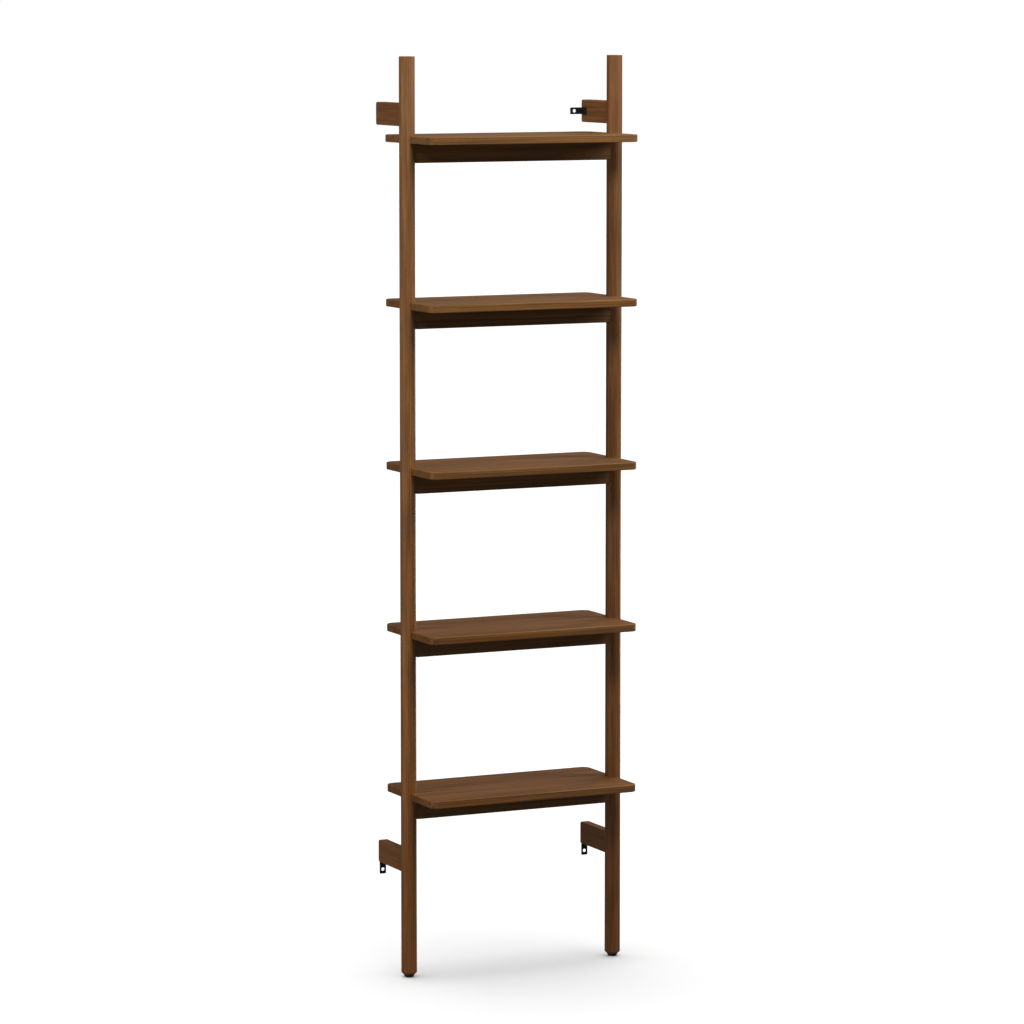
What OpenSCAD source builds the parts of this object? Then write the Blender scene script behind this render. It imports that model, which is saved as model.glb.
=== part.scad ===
// Ladder shelf: two round wooden posts, five notched boards that each lie on a
// cross rail, and four wall arms with steel angle brackets. Millimetres.
// +X is to the right, +Y towards the wall, +Z up. The origin lies on the floor,
// midway between the posts and midway through the overall depth.

/* [Posts] */
// Height from the floor to the tops of the posts
shelf_h = 2220; // [2150:5:2400]
// Diameter of each round post
post_d = 38; // [36:1:44]
// Distance between the axes of the two posts
post_spacing = 551; // [400:1:900]
// Chamfer round the bottom of each post
post_chamfer = 5; // [2:0.5:6]

/* [Boards] */
// Depth of each board from front to back
board_depth = 282; // [200:1:290]
// Thickness of each board
board_t = 18; // [16:1:25]
// Radius of each board's four corners
board_corner_r = 21; // [10:1:40]
// How far the boards' middle lies behind the post axes
board_back_shift = 2; // [0:1:6]
// Gap between a post and the notch that fits round it
notch_gap = 0.25; // [0.1:0.05:1]
// Height of the lowest board's top above the floor
first_board_z = 452; // [430:1:480]
// Height from one board's top to the next one's
board_pitch = 395; // [340:1:398]

/* [Rails] */
// Thickness of each cross rail
rail_t = 26; // [24:1:30]
// Height of each cross rail
rail_h = 46.5; // [44:0.5:60]
// Radius of the rails' lower corners
rail_corner_r = 6; // [2:0.5:8]

/* [Wall arms] */
// Distance from the post axes to the wall
wall_gap = 157; // [150:1:180]
// Thickness of each wall arm
arm_t = 23.5; // [20:0.5:28]
// Height of each wall arm
arm_h = 55; // [50:1:70]
// Radius of the corners at the arms' wall ends
arm_corner_r = 5; // [1:0.5:6]
// Height of the middle of the upper arms
upper_arm_z = 2082; // [2070:1:2100]
// Height of the middle of the lower arms
lower_arm_z = 283.5; // [270:0.5:320]

/* [Brackets] */
// Length of each leg of an angle bracket
bracket_leg = 30.5; // [28:0.5:40]
// Width of an angle bracket
bracket_w = 16.5; // [14:0.5:20]
// Thickness of the bracket's steel
bracket_t = 2; // [1.5:0.5:3]
// Diameter of the hole for the wall screw
wall_hole_d = 8.5; // [5:0.5:9]
// Distance from each bracket hole to the end of its leg
bracket_hole_inset = 11; // [8:0.5:12]

/* [Levelling feet] */
// Visible height of a foot when it is screwed right in
foot_h = 7; // [6:0.5:12]
// Diameter of the foot where it meets the post
foot_top_d = 26; // [20:1:26]
// Diameter of the foot on the floor
foot_floor_d = 19; // [16:1:20]
// How far a foot can be screwed out
foot_travel = 10; // [5:1:14]

/* [Hidden] */
$fn = 64;

walnut = [0.36, 0.22, 0.13];
black = [0.07, 0.07, 0.08];
zinc = [0.72, 0.72, 0.74];
beech = [0.82, 0.68, 0.48];

left = -1;
right = 1;
board_count = 5;
// Overshoot that carries a cut cleanly through a face
cut = 1;
// Radial room round a screw, dowel or stem in its hole
fit = 0.05;

// Places shared by several sub-parts
post_r = post_d / 2;
post_x = post_spacing / 2;
post_y = (board_depth / 2 - board_back_shift - wall_gap) / 2;
wall_y = post_y + wall_gap;
board_y = post_y + board_back_shift;
board_w = post_spacing;
// The flats milled into a round post are as wide as what butts against them
rail_seat = sqrt(pow(post_r, 2) - pow(rail_t / 2, 2));
arm_seat = sqrt(pow(post_r, 2) - pow(arm_t / 2, 2));
rail_end_x = post_x - rail_seat;
arm_front_y = post_y + arm_seat;
rail_back_y = post_y + rail_t / 2;

// Screws that hold the boards down on the rails
screw_d = 4;
screw_head_d = 8;
screw_head_h = 2.5;
shelf_screw_l = 40;
shelf_screw_x = 150;
counterbore_d = 10;
counterbore_h = 20;

// Hidden fittings between rails and posts
dowel_d = 8;
dowel_l = 30;
dowel_z = 12;
cam_z = 32;
cam_d = 15;
cam_h = 13;
cam_inset = 24;
stud_y = post_y + 4;
stud_thread_d = 8;
stud_thread_l = 11;
stud_d = 5;
stud_head_d = 7;
stud_head_l = 3;
stud_hole_d = 7.6;
driver_slot = 2;

// Dowels between arms and posts
arm_dowel_l = 40;
arm_dowel_z = 14;

// Screws that hold the brackets on the arms
bracket_screw_l = 18;
bracket_hole_d = 4.5;
bracket_bend_r = 3;
bracket_corner_r = 2;

// Levelling feet: threaded insert, stem and pad
stem_d = 8;
// Length that stays in the post when the foot is screwed right out
stem_grip = 14;
stem_l = foot_travel + stem_grip;
stem_disc_d = 14;
stem_disc_h = 3;
stem_key_af = 4;
disc_z = 2;
disc_gap = 0.05;
pad_rim_h = 2;
key_hole_d = 6;
insert_d = 12;
insert_l = 15;
insert_flange_d = 17;
insert_flange_h = 1.5;

function board_top(i) = first_board_z + (i - 1) * board_pitch;
function rail_top(i) = board_top(i) - board_t;
function rail_bottom(i) = rail_top(i) - rail_h;

// Rectangle centred on the origin whose corners are true arcs
module rounded_rect(w, h, r) {
    square([w - 2 * r, h], center = true);
    square([w, h - 2 * r], center = true);
    for (x = [-1, 1], y = [-1, 1])
        translate([x * (w / 2 - r), y * (h / 2 - r)]) circle(r);
}

// Cylinder along +X or -X from the origin
module rod_x(d, l, side = 1) {
    rotate([0, side * 90, 0]) cylinder(d = d, h = l);
}

// Cylinder along +Y from the origin
module rod_y(d, l) {
    rotate([-90, 0, 0]) cylinder(d = d, h = l);
}

// Pan-head wood screw: its shank runs along +Z and its head lies below z = 0
module pan_screw(l) {
    translate([0, 0, -screw_head_h]) cylinder(d = screw_head_d, h = screw_head_h);
    cylinder(d = screw_d, h = l);
}

// ---- Posts ----

// Cuts in a post for one rail: the milled flat, the dowel hole and the stud hole
module rail_joint_cuts(side, i) {
    inner_x = side > 0 ? rail_end_x - post_d : -rail_end_x;
    translate([inner_x, post_y - post_r, rail_bottom(i)])
        cube([post_d, post_d, rail_h]);
    translate([side * (rail_end_x - cut), post_y, rail_bottom(i) + dowel_z])
        rod_x(dowel_d + 2 * fit, dowel_l / 2 + cut, side);
    translate([side * (rail_end_x - cut), stud_y, rail_bottom(i) + cam_z])
        rod_x(stud_thread_d + 2 * fit, stud_thread_l + cut, side);
}

// Cuts in a post for one wall arm: the milled flat and the two dowel holes
module arm_joint_cuts(side, z) {
    translate([side * post_x - post_r, arm_front_y, z - arm_h / 2])
        cube([post_d, post_d, arm_h]);
    for (dz = [-arm_dowel_z, arm_dowel_z])
        translate([side * post_x, arm_front_y - arm_dowel_l / 2, z + dz])
            rod_y(dowel_d + 2 * fit, arm_dowel_l / 2 + cut);
}

// Hole in the bottom of a post for the threaded insert and the foot's stem
module foot_bore(side) {
    translate([side * post_x, post_y, foot_h]) {
        translate([0, 0, -cut])
            cylinder(d = insert_flange_d + 2 * fit, h = insert_flange_h + cut);
        cylinder(d = insert_d + 2 * fit, h = insert_flange_h + insert_l);
        cylinder(d = stem_d + 1, h = stem_l + 2);
    }
}

module post(side) {
    color(walnut) difference() {
        translate([side * post_x, post_y, 0]) rotate_extrude() polygon([
            [0, foot_h],
            [post_r - post_chamfer, foot_h],
            [post_r, foot_h + post_chamfer],
            [post_r, shelf_h],
            [0, shelf_h]
        ]);
        for (i = [1:board_count]) rail_joint_cuts(side, i);
        arm_joint_cuts(side, upper_arm_z);
        arm_joint_cuts(side, lower_arm_z);
        foot_bore(side);
    }
}

module left_post() { post(left); }
module right_post() { post(right); }

// ---- Boards ----

// Board with a half-round notch in the middle of each end for the posts
module shelf_board(i) {
    color(walnut) translate([0, 0, rail_top(i)]) difference() {
        translate([0, board_y, 0]) linear_extrude(board_t)
            rounded_rect(board_w, board_depth, board_corner_r);
        for (side = [left, right]) {
            translate([side * post_x, post_y, -cut])
                cylinder(r = post_r + notch_gap, h = board_t + 2 * cut);
            translate([side * shelf_screw_x, post_y, -cut]) cylinder(
                d = screw_d + 2 * fit,
                h = shelf_screw_l - (rail_h - counterbore_h) + cut
            );
        }
    }
}

// ---- Rails ----

// Rail that carries a board: rounded lower corners, and bores for its fittings
module rail(i) {
    rail_l = 2 * rail_end_x;
    color(walnut) translate([0, 0, rail_bottom(i)]) difference() {
        translate([0, rail_back_y, 0]) rotate([90, 0, 0]) linear_extrude(rail_t) {
            translate([-rail_l / 2, rail_corner_r])
                square([rail_l, rail_h - rail_corner_r]);
            translate([rail_corner_r - rail_l / 2, 0])
                square([rail_l - 2 * rail_corner_r, rail_h]);
            for (side = [left, right])
                translate([side * (rail_l / 2 - rail_corner_r), rail_corner_r])
                    circle(rail_corner_r);
        }
        for (side = [left, right]) {
            translate([side * (rail_end_x + cut), post_y, dowel_z])
                rod_x(dowel_d + 2 * fit, dowel_l / 2 + cut, -side);
            translate([side * (rail_end_x + cut), stud_y, cam_z])
                rod_x(stud_hole_d, cam_inset + cut, -side);
            translate([side * (rail_end_x - cam_inset), rail_back_y - cam_h, cam_z])
                rod_y(cam_d + 2 * fit, cam_h + cut);
            translate([side * shelf_screw_x, post_y, -cut])
                cylinder(d = counterbore_d, h = counterbore_h + cut);
            translate([side * shelf_screw_x, post_y, 0])
                cylinder(d = screw_d + 2 * fit, h = rail_h + cut);
        }
    }
}

// ---- Wall arms ----

// Arm from a post's back flat to the wall, with its two dowel holes
module arm(side, z) {
    arm_l = wall_y - arm_front_y;
    difference() {
        translate([side * post_x - arm_t / 2, arm_front_y, z])
            rotate([90, 0, 90]) linear_extrude(arm_t) {
                translate([0, -arm_h / 2]) square([arm_l - arm_corner_r, arm_h]);
                translate([arm_l / 2, 0]) rounded_rect(arm_l, arm_h, arm_corner_r);
            }
        for (dz = [-arm_dowel_z, arm_dowel_z])
            translate([side * post_x, arm_front_y - cut, z + dz])
                rod_y(dowel_d + 2 * fit, arm_dowel_l / 2 + cut);
    }
}

// Upper arms have a screw hole in the inner face, lower arms in the underside
module upper_arm(side) {
    color(walnut) difference() {
        arm(side, upper_arm_z);
        at_upper_bracket(side) bracket_screw_hole();
    }
}

module lower_arm(side) {
    color(walnut) difference() {
        arm(side, lower_arm_z);
        at_lower_bracket(side) bracket_screw_hole();
    }
}

module upper_left_arm() { upper_arm(left); }
module upper_right_arm() { upper_arm(right); }
module lower_left_arm() { lower_arm(left); }
module lower_right_arm() { lower_arm(right); }

// ---- Brackets ----

// A bracket's own frame: the arm's face is x = 0, the wall is y = 0, and z is
// the middle of its width
module at_upper_bracket(side) {
    translate([side * (post_x - arm_t / 2), wall_y, upper_arm_z])
        mirror([side > 0 ? 1 : 0, 0, 0]) children();
}

module at_lower_bracket(side) {
    translate([side * post_x, wall_y, lower_arm_z - arm_h / 2])
        rotate([0, 90, 0]) children();
}

// Flat leg with rounded free corners and one hole, from the bend to its end
module bracket_leg_plate(hole_d) {
    leg_l = bracket_leg - bracket_bend_r;
    linear_extrude(bracket_t) difference() {
        union() {
            translate([0, -bracket_w / 2]) square([leg_l - bracket_corner_r, bracket_w]);
            translate([leg_l / 2, 0]) rounded_rect(leg_l, bracket_w, bracket_corner_r);
        }
        translate([leg_l - bracket_hole_inset, 0]) circle(d = hole_d);
    }
}

// Angle bracket of bent steel
module bracket() {
    color(black) {
        translate([bracket_bend_r, 0, 0]) rotate([90, 0, 0])
            bracket_leg_plate(wall_hole_d);
        translate([0, -bracket_bend_r, 0]) rotate([90, 0, -90]) mirror([0, 0, 1])
            bracket_leg_plate(bracket_hole_d);
        translate([bracket_bend_r, -bracket_bend_r, -bracket_w / 2])
            linear_extrude(bracket_w) intersection() {
                difference() {
                    circle(bracket_bend_r);
                    circle(bracket_bend_r - bracket_t);
                }
                translate([-bracket_bend_r, 0]) square(bracket_bend_r);
            }
    }
}

// Runs from the bracket's face into the arm, along -X of the bracket's frame
module bracket_screw() {
    translate([bracket_t, bracket_hole_inset - bracket_leg, 0])
        rotate([0, -90, 0]) pan_screw(bracket_screw_l);
}

module bracket_screw_hole() {
    translate([cut, bracket_hole_inset - bracket_leg, 0]) rotate([0, -90, 0])
        cylinder(d = screw_d + 2 * fit, h = bracket_screw_l - bracket_t + cut);
}

module upper_left_bracket() { at_upper_bracket(left) bracket(); }
module upper_right_bracket() { at_upper_bracket(right) bracket(); }
module lower_left_bracket() { at_lower_bracket(left) bracket(); }
module lower_right_bracket() { at_lower_bracket(right) bracket(); }

// ---- Fasteners ----

module bracket_screws() {
    color(black) for (side = [left, right]) {
        at_upper_bracket(side) bracket_screw();
        at_lower_bracket(side) bracket_screw();
    }
}

module shelf_screws() {
    color(zinc) for (i = [1:board_count], side = [left, right])
        translate([side * shelf_screw_x, post_y, rail_bottom(i) + counterbore_h])
            pan_screw(shelf_screw_l);
}

module rail_dowels() {
    color(beech) for (i = [1:board_count], side = [left, right])
        translate([side * (rail_end_x - dowel_l / 2), post_y, rail_bottom(i) + dowel_z])
            rod_x(dowel_d, dowel_l, side);
}

// Stud screwed into the post, whose head sits in the cam disc
module cam_studs() {
    color(zinc) for (i = [1:board_count], side = [left, right])
        translate([side * rail_end_x, stud_y, rail_bottom(i) + cam_z]) {
            rod_x(stud_thread_d, stud_thread_l, side);
            rod_x(stud_d, cam_inset, -side);
            translate([-side * cam_inset, 0, 0]) rod_x(stud_head_d, stud_head_l, side);
        }
}

// Disc that pulls the stud tight, turned from the back of the rail
module cam_discs() {
    color(zinc) for (i = [1:board_count], side = [left, right])
        translate([
            side * (rail_end_x - cam_inset), rail_back_y - cam_h, rail_bottom(i) + cam_z
        ]) difference() {
            rod_y(cam_d, cam_h);
            translate([-side * stud_head_l, stud_y - rail_back_y + cam_h, 0])
                rod_x(stud_hole_d, cam_d, side);
            for (a = [0, 90])
                translate([0, cam_h, 0]) rotate([0, a, 0])
                    cube([cam_d / 2, 2 * driver_slot, driver_slot / 2], center = true);
        }
}

module arm_dowels() {
    color(beech) for (side = [left, right], z = [lower_arm_z, upper_arm_z])
        for (dz = [-arm_dowel_z, arm_dowel_z])
            translate([side * post_x, arm_front_y - arm_dowel_l / 2, z + dz])
                rod_y(dowel_d, arm_dowel_l);
}

// ---- Levelling feet ----

// Threaded insert in the end of each post
module foot_inserts() {
    color(zinc) for (side = [left, right])
        translate([side * post_x, post_y, foot_h]) difference() {
            union() {
                cylinder(d = insert_flange_d, h = insert_flange_h);
                cylinder(d = insert_d, h = insert_flange_h + insert_l);
            }
            translate([0, 0, -cut])
                cylinder(d = stem_d + 2 * fit, h = insert_l + insert_flange_h + 2 * cut);
        }
}

// Threaded stem on a disc with a hexagon socket
module foot_stem(side) {
    color(zinc) translate([side * post_x, post_y, disc_z + disc_gap]) difference() {
        union() {
            cylinder(d = stem_disc_d, h = stem_disc_h - 2 * disc_gap);
            cylinder(d = stem_d, h = foot_h - disc_z + stem_l);
        }
        translate([0, 0, -cut])
            cylinder(d = stem_key_af / cos(30), h = stem_disc_h + cut, $fn = 6);
    }
}

// Pad that the stem turns in: it stays still on the floor
module foot_pad(side) {
    color(black) translate([side * post_x, post_y, 0]) rotate_extrude() polygon([
        [key_hole_d / 2, 0],
        [foot_floor_d / 2, 0],
        [foot_top_d / 2, foot_h - pad_rim_h],
        [foot_top_d / 2, foot_h],
        [stem_d / 2 + fit, foot_h],
        [stem_d / 2 + fit, disc_z + stem_disc_h],
        [stem_disc_d / 2 + fit, disc_z + stem_disc_h],
        [stem_disc_d / 2 + fit, disc_z],
        [key_hole_d / 2, disc_z]
    ]);
}

module left_foot_stem() { foot_stem(left); }
module right_foot_stem() { foot_stem(right); }
module left_foot_pad() { foot_pad(left); }
module right_foot_pad() { foot_pad(right); }

left_post();
right_post();
shelf_board(1);  // shelf_1
shelf_board(2);  // shelf_2
shelf_board(3);  // shelf_3
shelf_board(4);  // shelf_4
shelf_board(5);  // shelf_5
rail(1);  // rail_1
rail(2);  // rail_2
rail(3);  // rail_3
rail(4);  // rail_4
rail(5);  // rail_5
upper_left_arm();
upper_right_arm();
lower_left_arm();
lower_right_arm();
upper_left_bracket();
upper_right_bracket();
lower_left_bracket();
lower_right_bracket();
bracket_screws();
shelf_screws();
rail_dowels();
cam_studs();
cam_discs();
arm_dowels();
foot_inserts();
left_foot_stem();
right_foot_stem();
left_foot_pad();
right_foot_pad();
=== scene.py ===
"""Looks of the ladder shelf: walnut posts, boards, rails and arms, black brackets and feet.

Every piece is built in metres where its CAD node is, and stands for that node.
"""

import math

import bmesh
import bpy
import numpy as np
from mathutils import Matrix, Vector


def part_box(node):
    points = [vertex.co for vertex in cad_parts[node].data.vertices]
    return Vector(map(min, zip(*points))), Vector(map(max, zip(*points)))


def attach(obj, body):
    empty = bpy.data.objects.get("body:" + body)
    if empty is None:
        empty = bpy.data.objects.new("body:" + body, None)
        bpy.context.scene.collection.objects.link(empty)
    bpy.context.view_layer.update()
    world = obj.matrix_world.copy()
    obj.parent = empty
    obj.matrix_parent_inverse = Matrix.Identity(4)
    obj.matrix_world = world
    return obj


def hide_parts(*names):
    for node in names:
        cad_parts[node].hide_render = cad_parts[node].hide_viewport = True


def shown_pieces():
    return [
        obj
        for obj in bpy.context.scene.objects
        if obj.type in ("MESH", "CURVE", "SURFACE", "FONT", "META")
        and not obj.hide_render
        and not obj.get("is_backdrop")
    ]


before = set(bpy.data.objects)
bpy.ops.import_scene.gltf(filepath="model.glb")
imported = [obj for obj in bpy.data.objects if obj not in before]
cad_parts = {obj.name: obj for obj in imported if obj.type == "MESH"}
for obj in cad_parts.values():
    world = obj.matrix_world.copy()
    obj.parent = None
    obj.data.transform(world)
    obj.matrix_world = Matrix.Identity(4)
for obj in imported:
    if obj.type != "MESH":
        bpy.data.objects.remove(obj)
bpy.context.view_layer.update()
scene = bpy.context.scene

MM = 0.001
SHARP_ANGLE = math.radians(40)
SIDES = {"left": -1, "right": 1}
BOARDS = range(1, 6)
# Facets on each rounded edge
EDGE_STEPS = 4
# Where a slab's wear has faded out: on its sides, past the rounding, and on its faces, by
# how many times the rounding's radius it is in from the outline
SLAB_GUARD = 0.6 * MM
SLAB_RIM = 1.3
ROD_SEGMENTS = 48


# ---- Meshes ----


def link(mesh, name):
    """An object of a finished mesh, smooth where it curves and sharp at its corners."""
    mesh.shade_smooth()
    mesh.set_sharp_from_angle(angle=SHARP_ANGLE)
    piece = bpy.data.objects.new(name, mesh)
    scene.collection.objects.link(piece)
    return piece


def skin(bm, rings, looped=False):
    """Walls between rings of (point, wear), each ring with the same number of points.

    The first and last rings are closed with a face, or joined to each other when looped.
    """
    wear = bm.verts.layers.float.get("wear") or bm.verts.layers.float.new("wear")
    made = []
    for ring in rings:
        row = []
        for point, worn in ring:
            vert = bm.verts.new(point)
            vert[wear] = worn
            row.append(vert)
        made.append(row)
    pairs = list(zip(made, made[1:])) + ([(made[-1], made[0])] if looped else [])
    for low, high in pairs:
        for k in range(len(low)):
            j = (k + 1) % len(low)
            bm.faces.new((low[k], low[j], high[j], high[k]))
    if not looped:
        bm.faces.new(made[0][::-1])
        bm.faces.new(made[-1])


def to_piece(bm, name):
    """Turns a finished bmesh into an object with its faces pointing outwards."""
    bmesh.ops.recalc_face_normals(bm, faces=bm.faces)
    mesh = bpy.data.meshes.new(name)
    bm.to_mesh(mesh)
    bm.free()
    return link(mesh, name)


def arc(centre_u, centre_v, radius, start, end, steps):
    """Points on an arc from start to end, in degrees."""
    angles = [math.radians(start + (end - start) * k / steps) for k in range(steps + 1)]
    return [
        (centre_u + radius * math.cos(a), centre_v + radius * math.sin(a)) for a in angles
    ]


def slab(name, outline, ease, thickness, place):
    """A flat solid with rounded edges. The outline runs counterclockwise in (u, v).

    ease(u, v) is the radius of the edges there, and place(u, v, w) gives the point.
    """
    inward = []
    for k, here in enumerate(outline):
        here = Vector(here)
        a = (here - Vector(outline[k - 1])).normalized()
        b = (Vector(outline[(k + 1) % len(outline)]) - here).normalized()
        na, nb = Vector((-a.y, a.x)), Vector((-b.y, b.x))
        inward.append((na + nb) / (1 + na.dot(nb)))

    def ring(inset, height, worn):
        row = []
        for (u, v), n in zip(outline, inward):
            r = ease(u, v)
            d, w = inset(r), height(r)
            row.append((place(u + n.x * d, v + n.y * d, w), worn))
        return row

    quarter = [math.pi / 2 * k / EDGE_STEPS for k in range(EDGE_STEPS + 1)]
    low = [ring(lambda r: r * SLAB_RIM, lambda r: 0, 0)]
    low += [
        ring(
            lambda r, a=a: r * (1 - math.sin(a)),
            lambda r, a=a: r * (1 - math.cos(a)),
            1,
        )
        for a in quarter
    ]
    low.append(ring(lambda r: 0, lambda r: r + SLAB_GUARD, 0))
    high = [ring(lambda r: 0, lambda r: thickness - r - SLAB_GUARD, 0)]
    high += [
        ring(
            lambda r, a=a: r * (1 - math.sin(a)),
            lambda r, a=a: thickness - r * (1 - math.cos(a)),
            1,
        )
        for a in reversed(quarter)
    ]
    high.append(ring(lambda r: r * SLAB_RIM, lambda r: thickness, 0))
    bm = bmesh.new()
    skin(bm, low + high)
    return to_piece(bm, name)


def eased(corners, guard=0.4 * MM):
    """Rounds the corners (x, y, radius) of a closed path. The rows are x, y and wear.

    The wear has faded out at the guard's distance from each rounding.
    """
    path = []
    for k, (x, y, radius) in enumerate(corners):
        if not radius:
            path.append((x, y, 0))
            continue
        here = Vector((x, y))
        a = (Vector(corners[k - 1][:2]) - here).normalized()
        b = (Vector(corners[(k + 1) % len(corners)][:2]) - here).normalized()
        half = a.angle(b) / 2
        reach = radius / math.tan(half)
        centre = here + (a + b).normalized() * radius / math.sin(half)
        spoke = here + a * reach - centre
        turn = math.copysign(math.pi - 2 * half, -a.cross(b))
        path.append((*(here + a * (reach + guard)), 0))
        for j in range(EDGE_STEPS + 1):
            rotated = Matrix.Rotation(turn * j / EDGE_STEPS, 2) @ spoke
            path.append((*(centre + rotated), 1))
        path.append((*(here + b * (reach + guard)), 0))
    return path


def round_ring(radius, height, worn, segments):
    """A level ring about the Z axis."""
    step = math.tau / segments
    return [
        (Vector((radius * math.cos(k * step), radius * math.sin(k * step), height)), worn)
        for k in range(segments)
    ]


def lathe(bm, path, segments, looped=False):
    """A solid turned about the Z axis from a path of (radius, height, wear)."""
    skin(bm, [round_ring(*row, segments) for row in path], looped=looped)


def cut(piece, *cutters):
    """Cuts the cutters' shapes out of the piece, and removes them."""
    for cutter in cutters:
        modifier = piece.modifiers.new("cut", "BOOLEAN")
        modifier.operation = "DIFFERENCE"
        modifier.solver = "EXACT"
        modifier.object = cutter
    graph = bpy.context.evaluated_depsgraph_get()
    mesh = bpy.data.meshes.new_from_object(piece.evaluated_get(graph))
    piece.modifiers.clear()
    piece.data = mesh
    mesh.set_sharp_from_angle(angle=SHARP_ANGLE)
    for cutter in cutters:
        bpy.data.objects.remove(cutter)


def foot_centre(low, high):
    """The middle of a box's bottom face."""
    return Vector(((low.x + high.x) / 2, (low.y + high.y) / 2, low.z))


def rod(name, start, end, radius):
    """A plain round bar between two points, to cut holes with."""
    start, end = Vector(start), Vector(end)
    turn = (end - start).to_track_quat("Z", "Y").to_matrix().to_4x4()
    bm = bmesh.new()
    lathe(bm, [(radius, 0, 0), (radius, (end - start).length, 0)], ROD_SEGMENTS)
    bm.transform(Matrix.Translation(start) @ turn)
    return to_piece(bm, name)


def set_grain_and_painted_light(piece, along, origin, shift, painted_light_foot=(1, 1, 1), painted_light_top=(1, 1, 1)):
    """Gives each point its place in the tree: along the grain, then across it twice.

    The shift is the origin's place in the tree. The tint is painted light: it multiplies
    the colour, and changes evenly from the piece's foot to its top.
    """
    mesh = piece.data
    co = np.empty(len(mesh.vertices) * 3, np.float32)
    mesh.vertices.foreach_get("co", co)
    co = co.reshape(-1, 3)
    order = {"X": (0, 1, 2), "Y": (1, 2, 0), "Z": (2, 0, 1)}[along]
    grain = (co - np.array(origin))[:, order] + np.array(shift)
    climb = co[:, 2:] - co[:, 2].min()
    # Painted light: the tint runs evenly from its value at the foot to its value at the top
    painted_light_tint = np.array(painted_light_foot) + (np.array(painted_light_top) - painted_light_foot) * climb / climb.max()
    for name, values in (("grain", grain), ("painted_light_tint", painted_light_tint)):
        layer = mesh.attributes.new(name, "FLOAT_VECTOR", "POINT")
        layer.data.foreach_set("vector", values.astype(np.float32).ravel())


# ---- Materials ----


class Shader:
    """A node material, with a short way to add and join its nodes."""

    def __init__(self, name, **constants):
        self.material = bpy.data.materials.new(name)
        self.material.use_nodes = True
        self.tree = self.material.node_tree
        self.surface = self.tree.nodes["Principled BSDF"]
        for socket, value in constants.items():
            self.surface.inputs[socket.replace("_", " ")].default_value = value

    def add(self, kind, output=0, settings=None, **inputs):
        """Adds a node and gives one of its outputs. Inputs are values or sockets."""
        node = self.tree.nodes.new("ShaderNode" + kind)
        for key, value in (settings or {}).items():
            setattr(node, key, value)
        for key, value in inputs.items():
            key = int(key[1:]) if key[1:].isdigit() else key.replace("_", " ")
            self.set(node.inputs[key], value)
        return node.outputs[output]

    def set(self, socket, value):
        if isinstance(value, bpy.types.NodeSocket):
            self.tree.links.new(value, socket)
        else:
            socket.default_value = value

    def drive(self, **inputs):
        """Joins sockets to the surface's inputs."""
        for key, value in inputs.items():
            self.set(self.surface.inputs[key.replace("_", " ")], value)

    def math(self, operation, a, b):
        return self.add("Math", settings={"operation": operation}, i0=a, i1=b)

    def mix(self, factor, a, b, blend="MIX"):
        """Mixes two colours."""
        settings = {"data_type": "RGBA", "blend_type": blend}
        return self.add("Mix", 2, settings, i0=factor, i6=a, i7=b)

    def ramp(self, value, *stops):
        """A colour ramp through (position, colour) stops."""
        node = self.tree.nodes.new("ShaderNodeValToRGB")
        elements = node.color_ramp.elements
        elements[0].position, elements[0].color = stops[0]
        elements[1].position, elements[1].color = stops[-1]
        for position, colour in stops[1:-1]:
            elements.new(position).color = colour
        self.tree.links.new(value, node.inputs[0])
        return node.outputs[0]

    def remap(self, value, low, high, out_low, out_high):
        """Stretches a value from one range to another, and stops at its ends."""
        return self.add("MapRange", i0=value, i1=low, i2=high, i3=out_low, i4=out_high)

    def noise(self, vector, stretch, detail=3, roughness=0.5, distortion=0.0):
        """Noise whose cells are 1/stretch metres long in each direction."""
        scaled = self.add("Mapping", Vector=vector, Scale=stretch)
        return self.add(
            "TexNoise",
            Vector=scaled,
            Scale=1.0,
            Detail=detail,
            Roughness=roughness,
            Distortion=distortion,
        )


def grey(value):
    return (value, value, value, 1)


# Period of Blender's wave texture at a scale of 1, in metres
WAVE_PERIOD = math.tau / 20
# How much each layer of the figure counts in the wood's colour
BROAD, STREAK, FINE, LATE_WOOD = 0.22, 0.46, 0.26, -0.10
# Where the mixed figure is dark, middling and light
FIGURE_STOPS = (0.31, 0.42, 0.53)
# What the greyer and the more golden stretches multiply the colour by
GREYER = (0.93, 0.99, 1.12, 1)
GOLDEN = (1.07, 1.01, 0.86, 1)
# How dark the open pores are against the dark wood, and how strongly they show
PORE_DARKNESS = 0.45
PORE_SHARE = 0.45
# How much paler worn edges are than the light wood, and how strongly they show
RUBBED_PALER = (1.40, 1.45, 1.35)
RUBBED_SHARE = 0.18


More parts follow.
